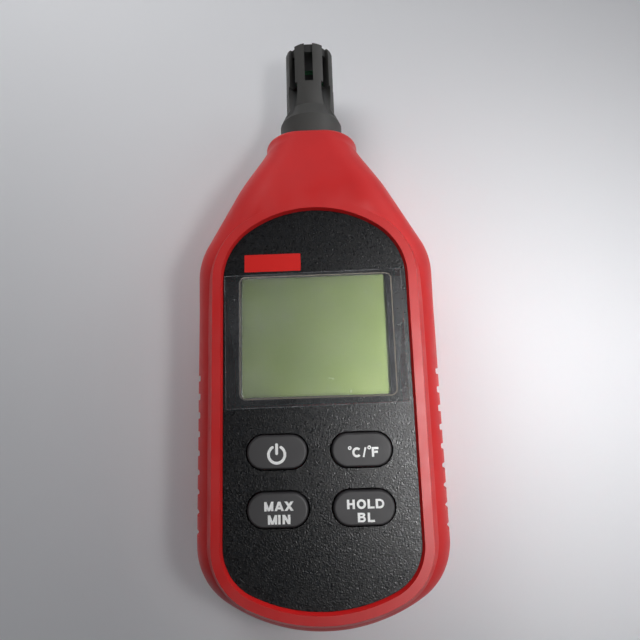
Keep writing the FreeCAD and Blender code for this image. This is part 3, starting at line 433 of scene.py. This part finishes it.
def liquid_crystal(settings):
    """Blank reflective display: a grey-green sheen over slow clouds of colour."""
    finish = Finish("liquid_crystal", settings.liquid, 0.42, Metallic=1.0)
    clouds = finish.noise(12 * MM, 2.0)
    finish.set("Base Color", finish.colours(finish.spread(clouds, *CLOUD), settings.liquid,
                                            settings.liquid_deep))
    finish.texture(finish.noise(0.2 * MM, 1.0), 0.004 * MM, 0.2)
    return finish.material


def metal(name, colour, roughness):
    """Drawn or turned metal with fine tool marks."""
    finish = Finish(name, colour, roughness, Metallic=1.0)
    marks = finish.noise(0.3 * MM, 3.0)
    finish.wander(marks, roughness, 0.08, 0.1)
    finish.texture(marks, 0.005 * MM, 0.3)
    return finish.material


def circuit_board():
    """Green solder mask over copper tracks."""
    finish = Finish("solder_mask", SOLDER_MASK, 0.35, Coat_Weight=0.3)
    tracks = finish.add("ShaderNodeTexBrick", Vector=finish.place, Scale=1 / (3.2 * MM),
                        Mortar_Size=0.06)
    raised = finish.spread(tracks.outputs["Fac"], 0.0, 1.0)
    finish.set("Base Color", finish.colours(raised, SOLDER_MASK, TRACK))
    finish.texture(raised, 0.03 * MM, 0.5)
    return finish.material


# ---------------------------------------------------------------------------------------------
# Mesh building
# ---------------------------------------------------------------------------------------------
def rounded_rectangle(width, height, corner, steps=10):
    """Points round a rectangle with round corners, centred on nothing."""
    points = []
    for turn, (sx, sy) in enumerate(((1, 1), (-1, 1), (-1, -1), (1, -1))):
        for step in range(steps + 1):
            angle = math.pi / 2 * (turn + step / steps)
            points.append((sx * (width / 2 - corner) + corner * math.cos(angle),
                           sy * (height / 2 - corner) + corner * math.sin(angle)))
    return points


def new_piece(name, mesh_data, materials, body):
    """An object of a finished bmesh that rides on a body."""
    mesh = bpy.data.meshes.new(name)
    bmesh.ops.recalc_face_normals(mesh_data, faces=mesh_data.faces)
    mesh_data.to_mesh(mesh)
    mesh_data.free()
    for material in materials:
        mesh.materials.append(material)
    piece = bpy.data.objects.new(name, mesh)
    bpy.context.scene.collection.objects.link(piece)
    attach(piece, body)
    return piece


def stacked(rings):
    """A closed solid of rings of points, one above the other, each as long as the next."""
    data = bmesh.new()
    loops = [[data.verts.new(point) for point in ring] for ring in rings]
    for low, high in zip(loops, loops[1:]):
        for index in range(len(low)):
            after = (index + 1) % len(low)
            data.faces.new((low[index], low[after], high[after], high[index]))
    data.faces.new(loops[0][::-1])
    data.faces.new(loops[-1])
    return data


def ribbon(data, pairs, low, high, closed=False):
    """Add a flat band to a bmesh: pairs of points across it, from one height to another."""
    rows = [[data.verts.new((x, y, z)) for x, y, z in
             ((*left, low), (*left, high), (*right, high), (*right, low))]
            for left, right in pairs]
    following = rows[1:] + rows[:1] if closed else rows[1:]
    for row, after in zip(rows, following):
        for index in range(4):
            onward = (index + 1) % 4
            data.faces.new((row[index], row[onward], after[onward], after[index]))
    if not closed:
        data.faces.new(rows[0])
        data.faces.new(rows[-1][::-1])


def moved(points, x, y):
    return [(px + x, py + y) for px, py in points]


def lifted(points, z):
    return [(x, y, z) for x, y in points]


# ---------------------------------------------------------------------------------------------
# Letters: ribbons in a space one capital tall
# ---------------------------------------------------------------------------------------------
def slanted(foot, head, weight):
    """A stroke from the foot line to the cap line, both ends cut level."""
    half = weight * math.hypot(1, head - foot) / 2
    return [((x - half, y), (x + half, y)) for x, y in ((foot, 0), (head, 1))]


def level(y, start, end, weight):
    """A stroke along the line, its middle at y, both ends cut upright."""
    return [((x, y - weight / 2), (x, y + weight / 2)) for x in (start, end)]


def bowl(centre, reach, turn, weight, steps=24):
    """Part of an oval band; reach is its half width and half height, turn its angles."""
    pairs = []
    for step in range(steps + 1):
        angle = math.radians(turn[0] + (turn[1] - turn[0]) * step / steps)
        edges = [(centre[0] + (reach[0] - inset) * math.cos(angle),
                  centre[1] + (reach[1] - inset) * math.sin(angle)) for inset in (0, weight)]
        pairs.append(tuple(edges))
    return pairs


def glyphs(bold):
    """Each letter's width, the room after it and its strokes, as shares of a capital's height."""
    fine, half = bold * 0.88, bold / 2
    low, middle, high = fine / 2, 0.53, 1 - fine / 2
    stem = slanted(half, half, bold)
    full, right, open_right = (0, 360), (-90, 90), (43, 317)

    def far_stem(width):
        return slanted(width - half, width - half, bold)

    return {
        "A": (0.95, 0.05, [slanted(half, 0.475, bold), slanted(0.95 - half, 0.475, bold),
                           level(0.29, 0.2, 0.75, fine)]),
        "B": (0.80, 0.20, [stem, level(low, half, 0.53, fine), level(middle, half, 0.52, fine),
                           level(high, half, 0.51, fine),
                           bowl((0.52, 0.31), (0.28, 0.31), right, fine),
                           bowl((0.50, 0.77), (0.26, 0.23), right, fine)]),
        "C": (0.96, 0.13, [bowl((0.5, 0.5), (0.5, 0.52), open_right, bold)]),
        "D": (0.87, 0.10, [stem, level(low, half, 0.42, fine), level(high, half, 0.42, fine),
                           bowl((0.41, 0.5), (0.46, 0.5), right, fine)]),
        "F": (0.72, 0.10, [stem, level(high, half, 0.72, fine), level(0.5, half, 0.64, fine)]),
        "H": (0.80, 0.18, [stem, far_stem(0.80), level(0.52, half, 0.7, fine)]),
        "I": (bold, 0.19, [stem]),
        "L": (0.70, 0.12, [stem, level(low, half, 0.70, fine)]),
        "M": (0.94, 0.10, [stem, far_stem(0.94), slanted(0.47, half, bold * 0.9),
                           slanted(0.47, 0.94 - half, bold * 0.9)]),
        "N": (0.80, 0.18, [stem, far_stem(0.80), slanted(0.8 - half, half, bold)]),
        "O": (0.95, 0.14, [bowl((0.475, 0.5), (0.475, 0.52), full, bold)]),
        "X": (0.95, 0.05, [slanted(half * 1.2, 0.95 - half * 1.2, bold),
                           slanted(0.95 - half * 1.2, half * 1.2, bold)]),
        "/": (0.40, 0.12, [slanted(0.08, 0.32, bold * 0.75)]),
        "°": (0.40, 0.04, [bowl((0.20, 0.96), (0.20, 0.20), full, bold * 0.5)]),
    }


# ---------------------------------------------------------------------------------------------
# Operators
# ---------------------------------------------------------------------------------------------
class METER_OT_housing(bpy.types.Operator):
    """Finish both shells of the housing and the screws that hold them"""
    bl_idname = "meter.housing"
    bl_label = "Dress the housing"

    def execute(self, context):
        settings = look("housing")
        seam = (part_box("front_housing")[0].z, settings.seam, settings.seam_red)
        red = moulded_plastic("red_plastic", settings.red, settings.deep_red, settings.roughness,
                              settings.grain, settings.relief, seam)
        for node in ("front_housing", "rear_housing"):
            dress(node, red)
        dress("housing_screws", metal("screw_steel", SCREW_STEEL, 0.3))
        return {"FINISHED"}


class METER_OT_panel(bpy.types.Operator):
    """Finish the front panel and print its bare badge"""
    bl_idname = "meter.panel"
    bl_label = "Dress the front panel"

    def execute(self, context):
        settings = look("panel")
        dress("front_panel", sparkling_panel(settings))
        low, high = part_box("display_lens")
        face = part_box("front_panel")[1].z
        centre = ((low.x + high.x) / 2 + settings.badge_shift,
                  high.y + settings.badge_gap + settings.badge_height / 2)
        outline = moved(rounded_rectangle(settings.badge_width, settings.badge_height,
                                          settings.badge_corner), *centre)
        data = stacked([lifted(outline, face), lifted(outline, face + settings.ink)])
        new_piece("badge_print", data, [ink("badge_ink", settings.badge, 0.5, 0.2)], "housing")
        return {"FINISHED"}


class METER_OT_display(bpy.types.Operator):
    """Build the bevelled lens and its mask, and finish the display behind them"""
    bl_idname = "meter.display"
    bl_label = "Dress the display"

    def execute(self, context):
        settings = look("display")
        low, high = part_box("display_lens")
        centre = ((low.x + high.x) / 2, (low.y + high.y) / 2)
        size = (high.x - low.x, high.y - low.y)
        self.lens(settings, centre, size, low.z + 2 * look("panel").ink, high.z)
        self.mask(settings, centre, size, low.z)
        dress("screen_film", protective_film(settings))
        self.film_edge_highlight(settings)
        dress("lcd_polarizer", liquid_crystal(settings))
        dress("lcd_glass", clear_acrylic())
        return {"FINISHED"}

    def lens(self, settings, centre, size, floor, top):
        """A clear plate with round corners, whose bevel carries a painted highlight in a material
        of its own.
        """
        bevel = settings.bevel
        rings = []
        for inset, z in ((0, floor), (0, top - bevel), (bevel, top)):
            outline = rounded_rectangle(size[0] - 2 * inset, size[1] - 2 * inset,
                                        settings.corner - inset)
            rings.append(lifted(moved(outline, *centre), z))
        # The bevel's second material is an opaque pale ink: a painted highlight.
        lens = new_piece("window_lens", stacked(rings),
                         [clear_acrylic(), ink("lens_bevel_highlight", settings.painted_bevel_highlight, 0.35)],
                         "housing")
        wall, flat = 0.3, 0.95    # a bevel's normal rises more than a wall's, less than a flat's
        for face in lens.data.polygons:
            face.material_index = 1 if wall < abs(face.normal.z) < flat else 0
        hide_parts("display_lens")

    def mask(self, settings, centre, size, z):
        """The printed border under the lens, with its clear opening."""
        outer = moved(rounded_rectangle(*size, settings.corner), *centre)
        opening = rounded_rectangle(settings.opening_width, settings.opening_length,
                                    settings.opening_corner)
        inner = moved(opening, centre[0] + settings.opening_x, centre[1] + settings.opening_y)
        data = bmesh.new()
        ribbon(data, list(zip(outer, inner)), z, z + look("panel").ink, closed=True)
        new_piece("window_mask", data, [ink("mask_ink", settings.mask, 0.85, 0.1)], "housing")

    def film_edge_highlight(self, settings):
        """A painted highlight along the cut edge of the film: a fine pale, half-clear line laid on
        top.
        """
        points = [v.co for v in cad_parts["screen_film"].data.vertices]
        top = max(point.z for point in points)
        middle = sum(points, Vector()) / len(points)
        corners = {(round(p.x, 6), round(p.y, 6)) for p in points if p.z > top - LAYER}
        outer = sorted(corners, key=lambda c: math.atan2(c[1] - middle.y, c[0] - middle.x))
        inner = [(x - math.copysign(settings.film_edge_highlight, x - middle.x),
                  y - math.copysign(settings.film_edge_highlight, y - middle.y)) for x, y in outer]
        data = bmesh.new()
        ribbon(data, list(zip(outer, inner)), top, top + 2 * LAYER, closed=True)
        # A pale, half-clear band in the film's colour: the painted highlight of the cut edge.
        haze = Finish("film_edge_highlight", settings.film_tint, 0.4)
        haze.set("Alpha", haze.spread(haze.noise(3 * MM), *CLOUD, 0.04, 0.2))
        new_piece("film_edge_highlight", data, [haze.material], "housing")


class METER_OT_keys(bpy.types.Operator):
    """Finish the four keys and print their legends"""
    bl_idname = "meter.keys"
    bl_label = "Dress the keys"

    def execute(self, context):
        settings = look("keys")
        grey = moulded_plastic("key_plastic", settings.grey, [c * 0.93 for c in settings.grey],
                               settings.roughness, 0.1 * MM, 0.15)
        white = ink("legend_ink", settings.white, 0.45)
        for name in KEYS:
            dress(name + "_key", grey)
        self.power_symbol(settings, white)
        rise, spread = settings.legend_rise, settings.row_spread
        self.words("unit", "°C/°F", (1, settings.small_letter), rise, white)
        for name, upper, lower in (("max_min", "MAX", "MIN"), ("hold", "HOLD", "BL")):
            size = (settings.letter_width, settings.letter)
            self.words(name, upper, size, rise + spread / 2, white)
            self.words(name, lower, size, rise - spread / 2, white)
        return {"FINISHED"}

    def key_top(self, name):
        """The middle of a key's top face."""
        low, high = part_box(name + "_key")
        return (low.x + high.x) / 2, (low.y + high.y) / 2, high.z

    def words(self, key, text, size, rise, material):
        """A centred row of letters as a thin solid on top of a key."""
        shapes = glyphs(look("keys").weight)
        tall, across = size[1], size[0] * size[1]
        width = sum(shapes[letter][0] + shapes[letter][1] for letter in text)
        x, y, z = self.key_top(key)
        start = x + look("keys").legend_shift - (width - shapes[text[-1]][1]) / 2 * across
        foot, thick = y + rise - tall / 2, look("panel").ink
        data, layer = bmesh.new(), 0
        for letter in text:
            wide, room, strokes = shapes[letter]
            for stroke in strokes:
                layer += 1
                pairs = [[(start + px * across, foot + py * tall) for px, py in pair]
                         for pair in stroke]
                ribbon(data, pairs, z, z + thick + layer * LAYER)
            start += (wide + room) * across
        name = "%s_legend_%s" % (key, "".join(c for c in text if c.isalnum()))
        return new_piece(name, data, [material], key)

    def power_symbol(self, settings, material):
        """A ring open at the top with a bar in its opening, both with round ends."""
        x, y, z = self.key_top("power")
        radius, half = settings.ring, settings.stroke / 2
        gap, steps = settings.ring_gap / 2, 40
        bar_height, bar_rise, bar_corner = radius * 1.4, radius * 0.66, half * 0.98
        start, end = math.pi / 2 + gap, math.pi / 2 + 2 * math.pi - gap
        angles = [start + (end - start) * step / steps for step in range(steps + 1)]
        outline = [((radius + half) * math.cos(a), (radius + half) * math.sin(a)) for a in angles]
        outline += self.round_end(radius, end, half, 0)
        outline += [((radius - half) * math.cos(a), (radius - half) * math.sin(a))
                    for a in reversed(angles)]
        outline += self.round_end(radius, start, half, math.pi)
        centre_y = y + settings.legend_rise
        bar = moved(rounded_rectangle(2 * half, bar_height, bar_corner), 0, bar_rise)
        for index, points in enumerate((outline, bar)):
            flat = moved(points, x, centre_y)
            data = stacked([lifted(flat, z), lifted(flat, z + look("panel").ink)])
            new_piece("power_legend_%d" % index, data, [material], "power")

    def round_end(self, radius, angle, half, turn):
        """Points of the round cap at one end of the ring."""
        cx, cy = radius * math.cos(angle), radius * math.sin(angle)
        steps = 8
        turns = [angle + turn + math.pi * step / steps for step in range(1, steps)]
        return [(cx + half * math.cos(a), cy + half * math.sin(a)) for a in turns]


class METER_OT_probe(bpy.types.Operator):
    """Finish the sensor cage and what stands in it"""
    bl_idname = "meter.probe"
    bl_label = "Dress the probe"

    def execute(self, context):
        settings = look("probe")
        dress("sensor_cage", cage_plastic(settings))
        dress("humidity_sensor", ink("sensor_cap", SENSOR_CAP))
        dress("sensor_header", ink("header_plastic", HEADER))
        return {"FINISHED"}


class METER_OT_inside(bpy.types.Operator):
    """Finish the board, the cells, their contacts and the battery door"""
    bl_idname = "meter.inside"
    bl_label = "Dress the inside"

    def execute(self, context):
        white = moulded_plastic("frame_plastic", FRAME_WHITE, FRAME_SHADE, 0.5, 0.1 * MM, 0.1)
        rubber = ink("silicone_rubber", SILICONE, 0.6)
        carbon = ink("carbon_pill", CARBON, 0.7)
        for material, nodes in (
                (circuit_board(), ("main_board", "sensor_board")),
                (metal("plated_steel", PLATED_STEEL, 0.25),
                 ("board_screws", "battery_contacts", "battery_springs", "door_screw")),
                (metal("brass", BRASS, 0.3), ("door_insert",)),
                (ink("chip_epoxy", CHIP, 0.45), ("microcontroller", "board_parts")),
                (ink("cell_sleeve", CELL_SLEEVE, 0.3), ("battery_1", "battery_2", "battery_3")),
                (white, ("lcd_frame", "backlight_guide")),
                (rubber, ("keypad_mat",)),
                (ink("zebra_rubber", ZEBRA, 0.6), ("zebra_strips",)),
                (ink("lamp_phosphor", LAMP_PHOSPHOR, 0.4), ("backlight_leds",)),
                (carbon, [name + "_pill" for name in KEYS])):
            for node in nodes:
                dress(node, material)
        for name in KEYS:
            self.dome(name, rubber)
        settings = look("housing")
        dress("battery_door", moulded_plastic("door_plastic", settings.red, settings.deep_red,
                                              settings.roughness, settings.grain,
                                              settings.relief))
        return {"FINISHED"}

    def dome(self, name, rubber):
        """A silicone dome under its key, on a mesh of its own."""
        shell = bmesh.new()
        shell.from_mesh(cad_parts[name + "_dome"].data)
        dome = new_piece(name + "_spring", shell, [rubber], "housing")
        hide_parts(name + "_dome")
        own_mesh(dome)


class METER_OT_stage(bpy.types.Operator):
    """Set the pale floor, the soft lights and the camera"""
    bl_idname = "meter.stage"
    bl_label = "Set the stage"

    def execute(self, context):
        settings = look("stage")
        scene = context.scene
        scene.view_settings.view_transform = "Standard"
        data = bpy.data.cameras.new("camera")
        data.lens = settings.lens
        data.sensor_width = SENSOR_WIDTH
        data.clip_start = NEAREST
        camera = bpy.data.objects.new("camera", data)
        camera.location = settings.camera_at
        camera.rotation_euler = Euler(settings.camera_turn, "XYZ")
        scene.collection.objects.link(camera)
        scene.camera = camera
        self.floor(settings)
        key = self.lamp("soft_lamp", settings.key_at, settings.key_aim, settings.key_side,
                        settings.key_power, settings.key_spread)
        key.visible_glossy = False
        sheen = self.lamp("sheen_lamp", settings.sheen_at, settings.sheen_aim,
                          settings.sheen_length, settings.sheen_power)
        sheen.data.shape = "RECTANGLE"
        sheen.data.size_y = settings.sheen_width
        sheen.visible_diffuse = False
        back = self.lamp("back_light", settings.back_at, settings.back_aim, settings.back_side,
                         settings.back_power)
        back.visible_glossy = False
        self.lamp("window_light", settings.window_at, settings.window_aim, settings.window_side,
                  settings.window_power)
        scene.world = self.sky(settings)
        return {"FINISHED"}

    def sky(self, settings):
        """A room whose walls are bright to one side and whose ceiling is dim."""
        world = bpy.data.worlds.new("studio")
        world.use_nodes = True
        nodes, links = world.node_tree.nodes, world.node_tree.links
        direction = nodes.new("ShaderNodeTexCoord").outputs["Generated"]
        across = (-1, 1, settings.sky_low, settings.sky_high)
        overhead, wall_top = 0.9, 0.35    # heights of a direction where the ceiling and walls end
        powers = []
        for axis, ends in ((settings.bright_side, across),
                           ((0, 0, 1), (overhead, wall_top, settings.ceiling, 1))):
            facing = nodes.new("ShaderNodeVectorMath")
            facing.operation = "DOT_PRODUCT"
            facing.inputs[1].default_value = Vector(axis).normalized()
            links.new(direction, facing.inputs[0])
            power = nodes.new("ShaderNodeMapRange")
            for socket, end in zip(power.inputs[1:5], ends):
                socket.default_value = end
            links.new(facing.outputs["Value"], power.inputs["Value"])
            powers.append(power.outputs[0])
        both = nodes.new("ShaderNodeMath")
        both.operation = "MULTIPLY"
        for socket, power in zip(both.inputs, powers):
            links.new(power, socket)
        background = nodes["Background"]
        background.inputs["Color"].default_value = linear(settings.sky)
        links.new(both.outputs[0], background.inputs["Strength"])
        return world

    def floor(self, settings):
        """A square of pale paper under the meter."""
        paper = Finish("paper", settings.floor, 0.9, Specular_IOR_Level=0.2)
        fibres = paper.noise(0.8 * MM, 3.0)
        paper.texture(fibres, 0.02 * MM, 0.3)
        reach = settings.floor_reach
        data = bmesh.new()
        corners = [data.verts.new((sx * reach, sy * reach, 0))
                   for sx, sy in ((-1, -1), (1, -1), (1, 1), (-1, 1))]
        data.faces.new(corners)
        mesh = bpy.data.meshes.new("floor")
        data.to_mesh(mesh)
        data.free()
        mesh.materials.append(paper.material)
        floor = bpy.data.objects.new("floor", mesh)
        bpy.context.scene.collection.objects.link(floor)

    def lamp(self, name, place, target, side, watts, spread=math.pi):
        """A square lamp that the camera doesn't see."""
        data = bpy.data.lights.new(name, "AREA")
        data.shape = "SQUARE"
        data.size = side
        data.energy = watts
        data.spread = spread
        lamp = bpy.data.objects.new(name, data)
        lamp.location = place
        aim = Vector(target) - Vector(place)
        lamp.rotation_euler = aim.to_track_quat("-Z", "Y").to_euler()
        lamp.visible_camera = False
        bpy.context.scene.collection.objects.link(lamp)
        return lamp


OPERATORS = (METER_OT_housing, METER_OT_panel, METER_OT_display, METER_OT_keys, METER_OT_probe,
             METER_OT_inside, METER_OT_stage)


class METER_PT_panel(bpy.types.Panel):
    """Sidebar list of the meter's settings and steps"""
    bl_idname = "METER_PT_panel"
    bl_label = "Weather meter"
    bl_space_type = "VIEW_3D"
    bl_region_type = "UI"
    bl_category = "Meter"

    def draw(self, context):
        for operator in OPERATORS:
            self.layout.operator(operator.bl_idname)
        for name, group in GROUPS.items():
            column = self.layout.column(heading=name.capitalize())
            for item in group.__annotations__:
                column.prop(look(name), item)


def register():
    for group in GROUPS.values():
        bpy.utils.register_class(group)
    for name, group in GROUPS.items():
        setattr(bpy.types.Scene, "meter_" + name, PointerProperty(type=group))
    for item in OPERATORS + (METER_PT_panel,):
        bpy.utils.register_class(item)


def unregister():
    for item in reversed(OPERATORS + (METER_PT_panel,)):
        bpy.utils.unregister_class(item)
    for name, group in GROUPS.items():
        delattr(bpy.types.Scene, "meter_" + name)
        bpy.utils.unregister_class(group)


def main():
    register()
    for operator in OPERATORS:
        getattr(bpy.ops.meter, operator.bl_idname.split(".")[1])()


if __name__ == "__main__":
    main()
